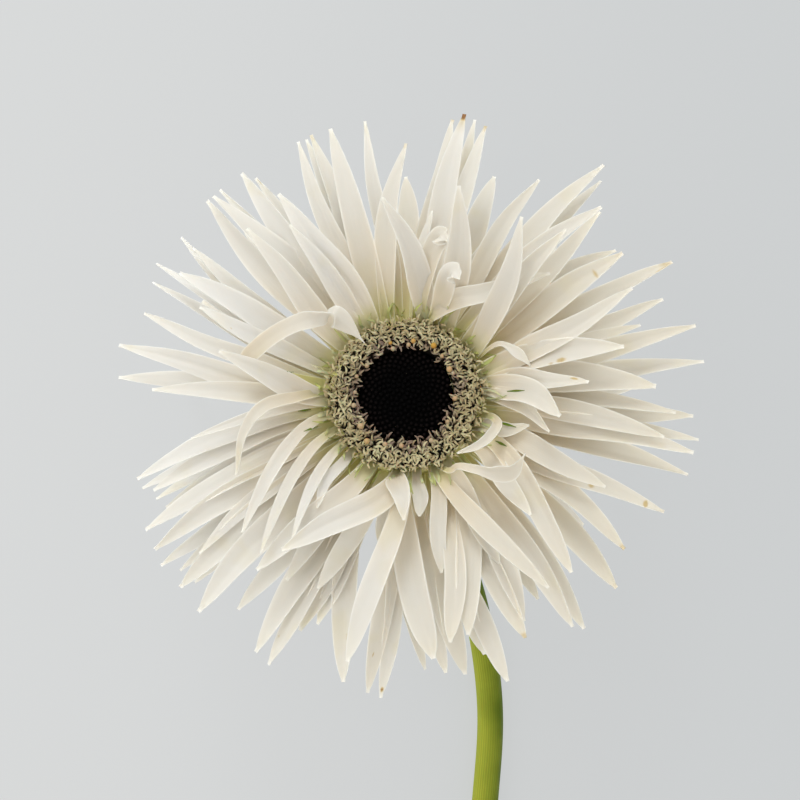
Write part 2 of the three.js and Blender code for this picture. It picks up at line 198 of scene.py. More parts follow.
def make_piece(bm, name, node, material, to_place=HEAD_TO_PLACE, thickness=0):
    if thickness:
        thicken(bm, thickness)
    bmesh.ops.transform(bm, matrix=to_place, verts=bm.verts)
    mesh = bpy.data.meshes.new(name)
    bm.to_mesh(mesh)
    bm.free()
    mesh.shade_smooth()
    mesh.materials.append(material)
    piece = bpy.data.objects.new(name, mesh)
    bpy.context.scene.collection.objects.link(piece)
    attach(piece, "root")
    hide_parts(node)
    print(f"{name}: {len(mesh.polygons)} faces")
    return piece


# %% [markdown]
# ## A small language for materials
#
# Node trees are quick to click and slow to read. Here a material is written as sums: a class wraps a
# socket, so that `1 - mask` or `tone * 0.3` adds the Math nodes, and one method adds any other node. What
# is the same all over a surface is set on the shader's own sockets, where an exporter can find it.


# %% Material helpers
class Value:
    """A socket inside a finish. Sums on it add Math nodes."""

    def __init__(self, finish, socket):
        self.finish, self.socket = finish, socket

    def math(self, operation, *others):
        return self.finish.add("Math", {"operation": operation}, dict(enumerate([self, *others])))

    def __add__(self, other):
        return self.math("ADD", other)

    def __sub__(self, other):
        return self.math("SUBTRACT", other)

    def __mul__(self, other):
        return self.math("MULTIPLY", other)

    def __rsub__(self, other):
        return self.finish.add("Math", {"operation": "SUBTRACT"}, {0: other, 1: self})

    __radd__ = __add__
    __rmul__ = __mul__

    def ramp(self, low, high):
        """0 below low and 1 above high, with a soft change between."""
        settings = {"interpolation_type": "SMOOTHSTEP"}
        return self.finish.add("MapRange", settings, {0: self, 1: low, 2: high, 3: 0.0, 4: 1.0})


class Finish:
    """A material being written round its one Principled shader."""

    def __init__(self, name, **constants):
        self.material = bpy.data.materials.new(name)
        self.material.use_nodes = True
        self.tree = self.material.node_tree
        self.shader = self.tree.nodes["Principled BSDF"]
        for socket, value in constants.items():
            self.shader.inputs[socket.replace("_", " ")].default_value = value

    def add(self, kind, settings=None, inputs=None, output=0):
        node = self.tree.nodes.new("ShaderNode" + kind)
        for name, value in (settings or {}).items():
            setattr(node, name, value)
        for name, value in (inputs or {}).items():
            if isinstance(value, Value):
                self.tree.links.new(value.socket, node.inputs[name])
            else:
                node.inputs[name].default_value = value
        return Value(self, node.outputs[output])

    def layer(self, name):
        return self.add("Attribute", {"attribute_name": name}, output="Fac")

    def noise(self, scale, detail=3.0):
        coords = self.add("TexCoord", output="Object")
        return self.add("TexNoise", None, {"Vector": coords, "Scale": scale, "Detail": detail})

    def mix(self, factor, a, b):
        """From colour a to colour b. A Mix node has its colours' sockets at 6, 7 and, for the result, 2."""
        return self.add("Mix", {"data_type": "RGBA"}, {0: factor, 6: a, 7: b}, output=2)

    def bump(self, height, strength, distance):
        return self.add("Bump", None, {"Height": height, "Strength": strength, "Distance": distance * MM})

    def feed(self, **links):
        for socket, value in links.items():
            self.tree.links.new(value.socket, self.shader.inputs[socket.replace("_", " ")])
        return self.material


def colour(red, green, blue):
    return (red, green, blue, 1.0)


# %% [markdown]
# ## The petals' finish
#
# A white petal is a thin bag of clear cells: light enters it and comes out warmer, so petals in each
# other's shade look cream rather than grey. Subsurface light does that here. Of its kinds, the one that
# averages the light over the nearby surface is used, because the one that walks about inside a solid leaves
# dark seams where two petals pass through each other. The colour runs from green at the root through cream
# to ivory along the blade. That cream is partly the petal's own colour and partly painted shade where the
# petals crowd, and the petals differ in it at random, while those on the right are painted deeper in cream,
# as painted shade. It has fine lengthwise veins and faint stains, a paler rim that is a painted highlight on
# the edges and the tip, and the bruised ends of a few petals turn straw and brown. A texture picture would
# need a map for every petal, but numbers that ride on the vertices follow each petal's own length for free.


# %% Petal material
def petal_finish():
    finish = Finish(
        "ivory_petal",
        Subsurface_Weight=0.7,
        Subsurface_Radius=(0.62, 0.54, 0.44),
        Subsurface_Scale=1.0 * MM,
        Specular_IOR_Level=0.2,
        Sheen_Weight=0.06,
        Sheen_Roughness=0.5,
    )
    finish.shader.subsurface_method = "BURLEY"
    along, across = finish.layer("along"), finish.layer("across")
    tone, bruise = finish.layer("tone"), finish.layer("bruise")
    blotch = finish.noise(160)
    veins = (across * 30 + blotch * 3).math("SINE") * 0.5 + 0.5
    # The tone mixes in cream: at random from petal to petal, and more on the right as painted shade.
    cream = finish.mix(tone * 0.5 + 0.5, colour(0.9, 0.905, 0.895), colour(0.79, 0.75, 0.65))
    # The inner blade is warmed towards cream: partly its own colour, partly painted shade where petals crowd.
    root_cream_and_painted_shade = (1 - (along + blotch * 0.1).ramp(0.1, 0.75)) * (tone * 0.25 + 0.7)
    warm_and_painted_shade = finish.mix(root_cream_and_painted_shade, cream, colour(0.86, 0.73, 0.52))
    veined = finish.mix(veins * (1 - along) * 0.05, warm_and_painted_shade, colour(0.66, 0.62, 0.42))
    stained = finish.mix(finish.noise(110, 2.0).ramp(0.55, 0.75) * 0.3, veined, colour(0.8, 0.74, 0.52))
    rooted = finish.mix(1 - (along + blotch * 0.14).ramp(0.07, 0.36), stained, colour(0.72, 0.69, 0.28))
    tipped = finish.mix((along + blotch * 0.1).ramp(0.88, 1.05) * 0.1, rooted, colour(0.78, 0.74, 0.52))
    # The edges and the tip are painted paler, as a painted highlight where they catch the light.
    rim = (across * across).ramp(0.7, 1).math("MAXIMUM", along.ramp(0.96, 1))
    painted_edge_highlight = finish.mix(rim * 0.5, tipped, colour(0.98, 0.975, 0.955))
    worn = (bruise * (0.7 + finish.noise(300, 2.0) * 0.7)).ramp(0.15, 0.6)
    straw = finish.mix(worn, painted_edge_highlight, colour(0.66, 0.53, 0.29))
    brown = finish.mix((bruise * (0.6 + blotch * 0.8)).ramp(0.6, 0.95), straw, colour(0.3, 0.15, 0.06))
    fine = veins * (1 - along.ramp(0.2, 0.7)) * 0.6 + finish.noise(1500, 2.0) * 0.3
    relief = finish.bump(fine, 0.12, 0.12)
    return finish.feed(Base_Color=brown, Roughness=0.5 + blotch * 0.2, Normal=relief)


PETAL = petal_finish()

# %% [markdown]
# ## One petal
#
# A petal starts as a flat grid from one bmesh operator. Each row of it is then laid across the petal's
# line, as wide as the blade is there, rolled as the solid is, and cupped, with a shallow groove between two
# low ridges, a soft fold on some petals, and edges that ripple slightly. Bending a grid this way keeps the
# faces even along any line, also on the petals that fold over. The sheet then gets an underside, as far off
# as a real petal is thick, which closes in towards the edges and the tip. A Solidify modifier would keep
# one distance, and would throw out spikes where a tip is narrow.

# %% Petal shape
PETAL_FACES = (12, 48)  # across and along
PETAL_THICKNESS = 0.34
ROOT_WIDTH = 0.58  # as a share of the greatest width
WIDEST = 0.45  # as a share of the length
TAPER = 1.5  # the higher it is, the broader the end
TIP_ROUNDING = 0.75  # below 1, so that the very tip is round
TIP_WIDTH = 0.14  # as a share of the greatest width
FOLD_WIDTH = 0.24  # as a share of the half width
GROOVE_TURN = 2.2 * math.pi  # radians of the groove's wave from the middle to the edge
RIPPLE_TURN = 11  # radians of an edge's wave along the petal
CURL_IN = 0.3  # how much a cupped blade narrows


def leaf(widest=WIDEST, taper=TAPER):
    """The blade's width along its length, as a share of its greatest width."""

    def at(t):
        if t < widest:
            return ROOT_WIDTH + (1 - ROOT_WIDTH) * smooth(t / widest)
        return max(TIP_WIDTH, (1 - ((t - widest) / (1 - widest)) ** taper) ** TIP_ROUNDING)

    return at


def steps(pairs):
    """A value that eases from one (share, value) pair to the next."""

    def at(t):
        for (start, a), (end, b) in zip(pairs, pairs[1:]):
            if t < end:
                return a + (b - a) * smooth((t - start) / (end - start))
        return pairs[-1][1]

    return at


def arch(t):
    """0 at both ends, and 1 in the middle."""
    return 4 * t * (1 - t)


def lay_blade(bm, line, width, roll=0, twist=0, channel=0.2, facing=FACE_AXIS, faces=PETAL_FACES, **style):
    """Bends a grid into a blade. The style says how it turns, narrows, sways, folds and is marked."""
    rows = []
    turns, share = style.get("turns", lambda t: 0), style.get("share", leaf())
    for row in range(faces[1] + 1):
        t = row / faces[1]
        along = heading(line, t)
        up = (facing - facing.dot(along) * along).normalized()
        up.rotate(Quaternion(along, math.radians(roll + twist * t + turns(t))))
        side = along.cross(up)
        sway = style.get("sway", 0) * math.sin(math.tau * t) * arch(t)
        rows.append((line(t) + side * sway, side, up, width / 2 * share(t)))
    grid = bmesh.ops.create_grid(bm, x_segments=faces[0], y_segments=faces[1], size=1)
    for vert in grid["verts"]:
        s, row = vert.co.x, round((vert.co.y + 1) / 2 * faces[1])
        t = row / faces[1]
        point, side, up, half = rows[row]
        cup = channel * (1 + style.get("tip_roll", 0) * t**5)
        lift = cup * half * s * s
        lift -= style.get("groove", 0) * half * math.cos(GROOVE_TURN * s) * (1 - t) ** 0.5 * (1 - s * s)
        lift += style.get("ripple", 0) * half * s**3 * math.sin(style.get("phase", 0) + RIPPLE_TURN * t)
        crease = math.exp(-(((s - style.get("beside", 0)) / FOLD_WIDTH) ** 2)) * arch(t)
        lift -= style.get("fold", 0) * half * crease
        vert.co = point + side * (s * half / (1 + CURL_IN * cup * cup)) + up * lift
        spots = [
            depth * smooth(1 - math.hypot((t - at) / length, (s - beside) / breadth))
            for at, beside, length, breadth, depth in style.get("bruises", ())
        ]
        mark(bm, vert, along=t, across=s, tone=style.get("tone", 0), bruise=max(spots, default=0))


# %% [markdown]
# ## The ray florets
#
# Real ray florets come in whorls, and in a spider gerbera no two lie alike. A rule that spreads them evenly
# looks like a child's drawing of a sun, so their bearings and reaches are read off this flower, as they are
# in the solid model: where each one leaves the ring, where its tip is, how far it reaches, how high it
# stands over the face and how wide it is, in degrees and millimetres. Those towards the stem have broader
# ends, those on the right are painted creamier as painted shade, and two short ones at the top end in a
# hood, along points of their own.

# %% Where the ray florets lie
RAY_ROOT_RADIUS = 13.4
RAY_SEED = 12  # as in the solid model
TOUCH_SEED = 77
SLIM = 0.93  # a thin petal curls in at its edges, so it looks this much narrower
SAG = 6  # how far the tips at the stem's side have dropped back
ROOT_PULL, TIP_PULL = 0.36, 0.3  # how long a line's handles are, as shares of its length
BLUNTEST = 282  # the petals at this bearing have the broadest ends
PAINTED_SHADE_BEARING = -20  # the petals at this bearing are painted the least white, as painted shade
BACK_WHORL = [
    (7, 6.6, 59.4, -1, 5.5), (16, 16.8, 48.5, 1, 4.5), (20, 20.6, 54.4, -1, 4.5), (27, 26.7, 59, 0, 5.5),
    (48, 34.7, 50.6, -2, 4.6), (50, 47.8, 57.5, -1, 4.5), (66, 60.7, 40.5, 0, 4.5),
    (75, 76, 56.4, -2, 4.5), (84, 80.4, 55.5, -1, 5), (97, 98.5, 55, 2, 4), (108, 110, 55, 2, 5),
    (111, 111.2, 54.5, -1, 4), (120, 124.6, 52.4, 1, 4.5), (130, 132, 55, -2, 4),
    (157, 144.8, 54.5, -2, 3.5), (151, 145.2, 51.3, 1, 4), (161, 155.8, 55, -1, 3.5),
    (168, 163.4, 49.3, 1, 4), (175, 176.3, 57, -3, 5), (192, 199.3, 55.3, -4, 4),
    (195, 202.4, 53.5, -2, 4), (212, 214.7, 59, -4, 4.5), (216, 217.7, 56.5, -2, 4),
    (221, 221.5, 55.8, -5, 4.5), (233, 231.8, 53.8, -1, 5), (240, 239.6, 58.8, -2, 6),
    (244, 242.9, 59.8, -3, 5.5), (247, 245.7, 51, -1, 5.5), (250, 248.8, 48.5, 0, 5),
    (243, 257.6, 58, -2, 5.4), (266, 262.6, 59.3, -2, 4.5), (268, 265.2, 60, -3, 4),
    (262, 274, 54.3, -5, 4), (274, 278.2, 55.4, -4, 4), (277, 282, 56.4, -3, 5.5),
    (282, 286.9, 53.5, -2, 5), (283, 289.6, 60, -2, 4.6), (306, 303, 48, -4, 4), (314, 307.4, 58, -2, 5),
    (325, 317.6, 56.4, -1, 5.5), (345, 344.4, 58, 0, 5.5), (351, 351.5, 58.6, -3, 5),
    (355, 356, 57, -2, 5),
]
MIDDLE_WHORL = [
    (10, 2.1, 49.5, 6, 7), (10, 13.6, 59, 4, 5.5), (31, 33.4, 51.4, 8, 6.5), (37, 43.5, 53, 9, 5),
    (52, 44, 53.8, 6, 5.5), (55, 49.4, 60.2, 2, 5.5), (62, 58.4, 50.3, 6, 4.5), (76, 73.5, 55.7, 1, 5),
    (80, 78.3, 57, 4, 5.5), (82, 77, 34, 12, 4.5), (84, 82, 37, 5, 3.5), (104, 90, 50, 8, 5),
    (106, 105.8, 55, 5, 6), (116, 113, 54.7, 3, 4.5), (127, 126.4, 54.8, 4, 6), (128, 134, 55, 5, 6.5),
    (141, 135.5, 55.2, 2, 6), (151, 151.5, 51, 6, 5.5), (158, 152, 56, 2, 3), (160, 156.7, 44.5, 6, 4),
    (170, 162.5, 54.4, 4, 4), (177, 169.9, 57.7, 4, 5.5), (179, 178.6, 50.3, 7, 5),
    (186, 197.2, 55.7, 6, 5), (190, 200.5, 53.4, 5, 5), (198, 204.9, 52.4, 1, 4), (203, 207.2, 58, 5, 6),
    (208, 211.4, 58.3, 5, 6), (211, 217.3, 51.5, 5, 4), (216, 220.3, 58.6, 2, 6),
    (223, 226.1, 59.3, 2, 6.5), (238, 237, 43.4, 3, 4.5), (254, 245.4, 42, 6, 4.5),
    (262, 261.4, 31.4, 4, 4), (266, 276, 52.3, 4, 6.5), (294, 280.1, 49.6, 9, 4.6),
    (302, 284.5, 48.9, 8, 5.5), (296, 296.2, 53.4, 4, 5), (305, 297.6, 50.4, 5, 5.5),
    (310, 305.8, 56.4, 3, 5), (331, 335.8, 56, 1, 5), (333, 324.9, 52.8, 4, 5.5), (350, 348.8, 58, 5, 5.5),
    (357, 350.9, 51.7, 7, 5), (362, 356.4, 53.5, 3, 4),
]
FRONT_WHORL = [
    (4, -14, 29.2, 12, 3.5), (8, 4.3, 36.2, 14, 4.5), (9, -7.5, 30.7, 16, 6), (13, 25.5, 49.6, 14, 5.5),
    (18, 12.7, 44.2, 12, 6), (33, 57.2, 42.2, 20, 5.5), (41, 46.2, 45.7, 14, 5), (60, 76, 42.9, 20, 6),
    (68, 70, 27, 14, 4.5), (301, 299, 38, 7, 4), (75, 97, 39.6, 22, 5.5), (115, 122.3, 47.3, 14, 6),
    (121, 124.3, 41, 14, 4.5), (139, 133.5, 45.7, 14, 5.5), (181, 166.5, 38.1, 16, 5.5),
    (183, 191.2, 43.4, 9, 2.6), (191, 219.8, 42.3, 14, 3), (204, 227.2, 42.4, 13, 2.8),
    (216, 231.7, 36.6, 13, 2.6), (223, 231.5, 28.3, 10, 2.6), (242, 229.3, 45.4, 9, 5.5),
    (266, 231, 39.2, 16, 6), (270, 257.4, 53.9, 10, 5), (278, 276.4, 24, 8, 3.4),
    (292, 306.5, 47.3, 12, 4.2), (290, 281.2, 35.7, 7, 3.6), (334, 313.1, 47.9, 10, 4.8),
    (324, 316.3, 34.1, 12, 4.5), (338, 335.4, 43.4, 8, 5), (335, 346.4, 25, 8, 3.4),
]
WHORLS = [  # how deep the roots sit, how steeply they leave in degrees, and how much the ends droop
    ("back_whorl", BACK_WHORL, {"depth": -5.6, "start": 6, "droop": 0.1}),
    ("middle_whorl", MIDDLE_WHORL, {"depth": -4.4, "start": 22, "droop": 0.08}),
    ("front_whorl", FRONT_WHORL, {"depth": -3.2, "start": 46, "droop": 0.05}),
]
HOODED = {  # short florets whose ends fold forwards, by their tips' bearings
    70: [(70, 14.5, -2), (70, 19, 5), (70.5, 23, 10.5), (70, 25.6, 13.4), (68, 26, 14.8), (65.5, 25.4, 15.4)],
    77: [(81, 14.5, -2), (81, 21, 5), (80, 27.5, 10), (78.5, 32.2, 12.2), (77, 32.4, 13), (75, 31.8, 13.4)],
}
HOOD_SHARE = [(0, 0.6), (0.4, 1), (0.72, 0.95), (0.86, 0.5), (1, 0.05)]
print("ray florets in whorls:", sum(len(florets) for _, florets, _ in WHORLS))

# %% [markdown]
# A white petal shows every touch. These marks are listed by the floret that bears them, named by its tip's
# bearing. Each one has its place along and across the petal, its length and breadth in the same shares, and
# how dark it is.

# %% Bruises
WHOLE = 4  # wide enough to cross the petal
BRUISES = {
    78.3: [(1, 0, 0.07, WHOLE, 1.1), (0.97, 0, 0.16, WHOLE, 0.35)],
    73.5: [(1, 0, 0.07, WHOLE, 0.5)],
    80.4: [(1, 0, 0.05, WHOLE, 0.4)],
    33.4: [(0.8125, 0.33, 0.025, 1.2, 0.6), (0.98, -0.2, 0.1, WHOLE, 0.3)],
    12.7: [(0.62, 0.75, 0.05, 0.4, 0.8), (0.56, 0.9, 0.04, 0.25, 0.6)],
    4.3: [(0.88, -0.6, 0.06, 0.5, 0.7)],
    335.8: [(0.8958, 0.17, 0.022, 1.5, 0.8), (0.625, 0.5, 0.03, 0.5, 0.7), (0.99, 0, 0.05, WHOLE, 0.35)],
    324.9: [(0.99, 0, 0.05, WHOLE, 0.5)],
    296.2: [(0.99, 0, 0.05, WHOLE, 0.5)],
    265.2: [(0.9583, 0, 0.021, 1, 1)],
    262.6: [(0.8125, 0.17, 0.02, 0.17, 0.7)],
    242.9: [(0.8542, 0.67, 0.03, 0.4, 0.35)],
    257.6: [(0.78, -0.4, 0.03, 0.5, 0.4)],
    110: [(0.99, 0, 0.06, WHOLE, 0.4)],
    124.6: [(0.97, 0.5, 0.06, 0.6, 0.5)],
    90: [(0.99, 0, 0.05, WHOLE, 0.4)],
    60.7: [(0.99, 0, 0.05, WHOLE, 0.4)],
    26.7: [(0.97, 0, 0.08, WHOLE, 0.5), (0.93, 0.7, 0.06, 0.4, 0.6)],
    156.7: [(0.75, -0.5, 0.02, 0.3, 0.4)],
    317.6: [(0.99, 0, 0.04, WHOLE, 0.4)],
}


# %% Grow the whorls
def ray_line(root_bearing, tip_bearing, reach, rise, depth, start, droop):
    root = on_face(root_bearing, RAY_ROOT_RADIUS, depth)
    tip = as_seen(tip_bearing, reach, rise - SAG * max(0, -math.sin(math.radians(tip_bearing))))
    length = (tip - root).length
    rising = math.radians(start)
    leaving = root + on_face(root_bearing, math.cos(rising), math.sin(rising)) * ROOT_PULL * length
    course = ((tip - leaving).normalized() - FACE_AXIS * droop * 3).normalized()
    return bezier(root, leaving, tip - course * TIP_PULL * length, tip)


ray_draw = draws(RAY_SEED)
touch = draws(TOUCH_SEED)  # for what the solid model leaves out


def petal_style(bearing=BLUNTEST + 90):
    """How one petal rolls and twists, drawn as in the solid model, and its finer differences."""
    bluntness = max(0, math.cos(math.radians(bearing - BLUNTEST))) ** 2
    rolled = {
        "roll": 20 * next(ray_draw),
        "twist": 22 * next(ray_draw),
        "channel": 0.22 + 0.1 * next(ray_draw),
    }
    widest = WIDEST + 0.12 * bluntness + 0.06 * next(touch)
    taper = TAPER * (1 + 0.6 * bluntness + 0.15 * next(touch))
    finer = {
        "share": leaf(widest, taper),
        "sway": 0.7 * next(touch),
        "groove": 0.03 + 0.02 * next(touch),
        "fold": 0.13 * max(0, next(touch)),
        "beside": 0.4 * next(touch),
        "ripple": 0.1 + 0.07 * next(touch),
        "phase": math.pi * next(touch),
        "tip_roll": 0.5 + 0.5 * next(touch),
        # The tone's second part is painted shade: it makes the petals on the right creamier.
        "tone": 0.3 * next(touch) + 0.6 * math.cos(math.radians(bearing - PAINTED_SHADE_BEARING)),
    }
    return {**rolled, **finer}


whorls = []
for name, florets, habit in WHORLS:
    bm = new_bmesh()
    for root_bearing, tip_bearing, reach, rise, width in florets:
        line = ray_line(root_bearing, tip_bearing, reach, rise, **habit)
        style = petal_style(tip_bearing)
        if tip_bearing in HOODED:
            line = through([as_seen(*point) for point in HOODED[tip_bearing]])
            style.update(roll=0, twist=0, share=steps(HOOD_SHARE))
        lay_blade(bm, line, SLIM * width, bruises=BRUISES.get(tip_bearing, ()), **style)
    whorls.append(make_piece(bm, name, "ray_florets", PETAL, thickness=PETAL_THICKNESS))

# %% [markdown]
# ## The florets that break the pattern
#
# A handful of florets give this flower its character: a long one at the upper left arches back and folds
# over the ring, one at the upper right lies across its neighbours, one at the lower right lies curled along
# the ring, and a few short ones stand bent. Each follows a line through chosen points. The outermost row
# turns right back under the head, and four of its tips touch the surface: that is what the head rests on.

# %% Bent and turned-back florets
# A point has a bearing, a reach and a rise. Turns and shares say how far the blade is turned about its line,
# in degrees, and how wide it is, from one share of its length to the next.
BENT_FLORETS = [
    {
        "width": 4.4,
        "points": [
            (172, 15, -3), (171, 25, 3), (168.5, 32, 8), (161, 30.6, 12), (152, 27.8, 14.4),
            (143.4, 25, 15.6), (137, 22.7, 15.8), (131.5, 21, 14.6), (129.2, 17, 12), (128.3, 13.4, 9.6),
        ],
        "turns": [(0, 0), (0.5, 0), (0.66, 55), (0.72, 80), (0.765, 185), (1, 180)],
        "share": [(0, 0.5), (0.3, 0.8), (0.7, 0.8), (0.78, 1), (1, 0.02)],
    },
    {"width": 2.6, "points": [(177, 15, -3), (179, 21, 5), (184, 28, 11), (194, 33, 11), (205, 37.2, 8)]},
    {
        "width": 2,
        "points": [(27, 15, -3), (29, 19.5, 4), (27.5, 22, 6.5), (21, 24, 7.5), (12.6, 25.6, 6.5)],
        "share": [(0, 0.3), (0.45, 0.5), (0.75, 1), (1, 0.05)],
    },
    {
        "width": 3.4,
        "points": [
            (294, 15, -3), (300, 16.9, 3.3), (307, 17.2, 7), (313.5, 20, 9), (318.5, 23.6, 10),
            (325, 25.8, 12.5), (334, 26.2, 16),
        ],
        "turns": [(0, -20), (0.35, -20), (0.62, 35), (1, 35)],
        "share": [(0, 0.3), (0.5, 0.5), (0.78, 1.15), (1, 0.03)],
    },
    {
        "width": 2,
        "points": [
            (346, 15, -3), (347, 18, 3), (343, 19.2, 6.5), (333, 17.8, 8.4), (322, 16.3, 8.6),
            (311.5, 15.2, 7.6),
        ],
        "turns": [(0, 0), (0.3, 20), (0.55, -10), (1, -10)],
    },
    {"width": 4.4, "points": [(262, 15, -3), (264, 17, 3), (267, 20, 8), (269, 24.6, 8.5)]},
    {
        "width": 4.4,
        "points": [
            (76, 15, -3), (70, 17.6, 4), (62, 21.4, 7), (54.6, 25.2, 7.2), (45.5, 32.1, 7),
            (40.5, 37.4, 8.5),
        ],
    },
]
SKIRT_DEPTH = -6
SKIRT_WIDTH = 5.2
SKIRT_OUT = 19  # how far outwards the handle at the root pulls
SKIRT_FALL = 0.84  # where the handle at the tip is, as a share of the tip's reach
SKIRT = [  # a tip's bearing, reach and height over the surface
    (-36, 46, 15), (-12, 49, -0.5), (3, 50, 9), (26, 47, 16), (47, 49, -0.5), (68, 50, 11), (90, 46, 14),
    (112, 49, -0.5), (134, 50, 8), (155, 47, 15), (172, 49, -0.5), (201, 49, 10), (219, 45, 17),
]
BENT_FACES = (PETAL_FACES[0], 60)
SKIRT_CLEARANCE = 0.4  # a thin petal's tip stays this far over the surface


def skirt_line(bearing, reach, height):
    root = on_face(bearing, RAY_ROOT_RADIUS, SKIRT_DEPTH)
    tip = around(bearing, reach, max(height, SKIRT_CLEARANCE) - HEAD_CENTRE.z)
    leaving = root + on_face(bearing, SKIRT_OUT, 0)
    arriving = Vector((SKIRT_FALL * tip.x, SKIRT_FALL * tip.y, (tip.z + root.z) / 2))
    return bezier(root, leaving, arriving, tip)


bm = new_bmesh()
for bent in BENT_FLORETS:
    style = {**petal_style(), "roll": 0, "twist": 0}
    style.update((key, steps(bent[key])) for key in ("turns", "share") if key in bent)
    line = through([as_seen(*point) for point in bent["points"]])
    lay_blade(bm, line, bent["width"], faces=BENT_FACES, **style)
make_piece(bm, "bent_florets", "ray_florets", PETAL, thickness=PETAL_THICKNESS)

bm = new_bmesh()
for floret in SKIRT:
    style = {**petal_style(), "roll": 0, "twist": 0, "tip_roll": 0}
    lay_blade(bm, skirt_line(*floret), SKIRT_WIDTH, **style)
make_piece(bm, "turned_back_whorl", "ray_florets", PETAL, thickness=PETAL_THICKNESS)

# %% [markdown]
# A ray floret has two lips. The long petal is the outer one, and the inner one is no more than a pair of
# green threads at its root. They lie on the petals round the ring. Where two petals part, the tip of a bract
# shows as a darker stroke. Each is dropped onto the petals by rays cast from the eye, so it lies on whatever
# is uppermost there.


# %% Threads round the ring
def thread_finish():
    finish = Finish("green_thread", Subsurface_Weight=0.2, Subsurface_Scale=0.6 * MM, Specular_IOR_Level=0.3)
    tone = finish.layer("tone")
    green = finish.mix(tone.ramp(-1, 1), colour(0.66, 0.7, 0.24), colour(0.8, 0.79, 0.48))
    tipped = finish.mix(finish.layer("along").ramp(0.7, 1) * 0.6, green, colour(0.4, 0.5, 0.12))
    deep = finish.mix(tone.ramp(1, 2), tipped, colour(0.17, 0.25, 0.03))
    return finish.feed(Base_Color=deep, Roughness=0.5 + finish.noise(700) * 0.2)


THREAD_SEED = 58
THREAD_COUNT = 72
THREAD_START = 15.9  # just outside the ring
THREAD_FACES = (2, 8)
THREAD_THICKNESS = 0.2
THREAD_SHARE = [(0, 0.8), (0.5, 1), (1, 0.15)]
STROKE_SHARE = [(0, 0.2), (0.5, 1), (1, 0.15)]
STROKE_TONE = 2  # past the threads' own tones
STROKES = [  # bearing, reach, length and width
    (2.7, 20, 3.4, 0.4), (-15.8, 18.6, 4, 0.5), (-26.6, 19.8, 2.4, 0.5),
    (199, 18.4, 3, 0.4), (188, 19, 2.6, 0.4), (168.3, 21.4, 2.6, 0.5),
]
PARTS = (0, 0.5, 1)  # where along its length a thread is dropped onto the petals
HIGHEST = 30  # nothing on the face is as high


def on_petals(bearing, reach, over):
    """The point that shows at a bearing and a reach, a little over the uppermost petal."""
    eye = Vector((0, 0, VIEW_DISTANCE))
    ray = (as_seen(bearing, reach, HIGHEST) - eye).normalized()
    start = HEAD_TO_PLACE @ eye
    hits = [piece.ray_cast(start, ray) for piece in whorls]
    near = min(((place - start).length for found, place, _, _ in hits if found), default=VIEW_DISTANCE * MM)
    return eye + ray * (near / MM - over)


bpy.context.view_layer.update()
thread_draw = draws(THREAD_SEED)
bm = new_bmesh()
for i in range(THREAD_COUNT):
    bearing = i * 360 / THREAD_COUNT + 3 * next(thread_draw)
    length, drift = 2.4 + 1.6 * next(thread_draw), 5 * next(thread_draw)
    course = [
        on_petals(bearing + drift * k * k, THREAD_START + length * k, 0.3 + 0.5 * k * k) for k in PARTS
    ]
    style = {"share": steps(THREAD_SHARE), "tone": next(thread_draw), "roll": 30 * next(thread_draw)}
    lay_blade(bm, through(course), 0.55 + 0.15 * next(thread_draw), faces=THREAD_FACES, **style)
for bearing, reach, length, width in STROKES:
    course = [on_petals(bearing, reach + length * k, 0.25) for k in PARTS]
    lay_blade(bm, through(course), width, faces=THREAD_FACES, share=steps(STROKE_SHARE), tone=STROKE_TONE)
make_piece(bm, "green_threads", "ray_florets", thread_finish(), thickness=THREAD_THICKNESS)

# %% [markdown]
# ## The ring of curled florets
#
# Between the long petals and the dark disc stands a ring of trans florets. Each is a short tube whose lobes
# curl back like wood shavings, and together they make a pale tangle with black gaps. The gaps matter more
# than the tubes, so only the lobes are made, over a near-black bed that stands for the tubes and is painted
# shade, and the lobes are painted darker towards their roots, as painted shade. A noise bump on a ring would
# be cheaper, but it has no gaps and no edges. One lobe is a narrow grid rolled into a curl.


# %% Curled floret material
def curl_finish():
    finish = Finish(
        "curled_floret", Subsurface_Weight=0.2, Subsurface_Scale=0.6 * MM, Specular_IOR_Level=0.3
    )
    along, tone, place = finish.layer("along"), finish.layer("tone"), finish.layer("place")
    cream = finish.mix(tone.ramp(-1, 1), colour(0.49, 0.405, 0.215), colour(0.77, 0.67, 0.41))
    blushed = finish.mix(place.ramp(0.12, 0.45), colour(0.28, 0.2, 0.15), cream)
    olive = finish.mix(place.ramp(0.85, 1.15) * 0.4, blushed, colour(0.42, 0.4, 0.14))
    # The lobes are painted near black towards their roots, as painted shade in the depths of the ring.
    rooted = finish.mix(along.ramp(0.1, 0.6), colour(0.014, 0.009, 0.004), olive)
    return finish.feed(Base_Color=rooted, Roughness=0.6 + finish.noise(900) * 0.2)


def painted_shade_bed_finish():
    finish = Finish("painted_shade_floret_bed", Specular_IOR_Level=0.2)
    # The bed is near black, as painted shade in the gaps between the lobes.
    dark = finish.mix(finish.noise(700), colour(0.006, 0.004, 0.003), colour(0.02, 0.014, 0.008))
    return finish.feed(Base_Color=dark, Roughness=0.8 + finish.noise(400) * 0.1)


CURL = curl_finish()
PAINTED_SHADE_BED = painted_shade_bed_finish()


# %% Grow the curled florets
SPIN = {"cent": (0, 0, 0), "axis": (0, 0, 1), "angle": math.tau, "steps": 72, "use_merge": True}


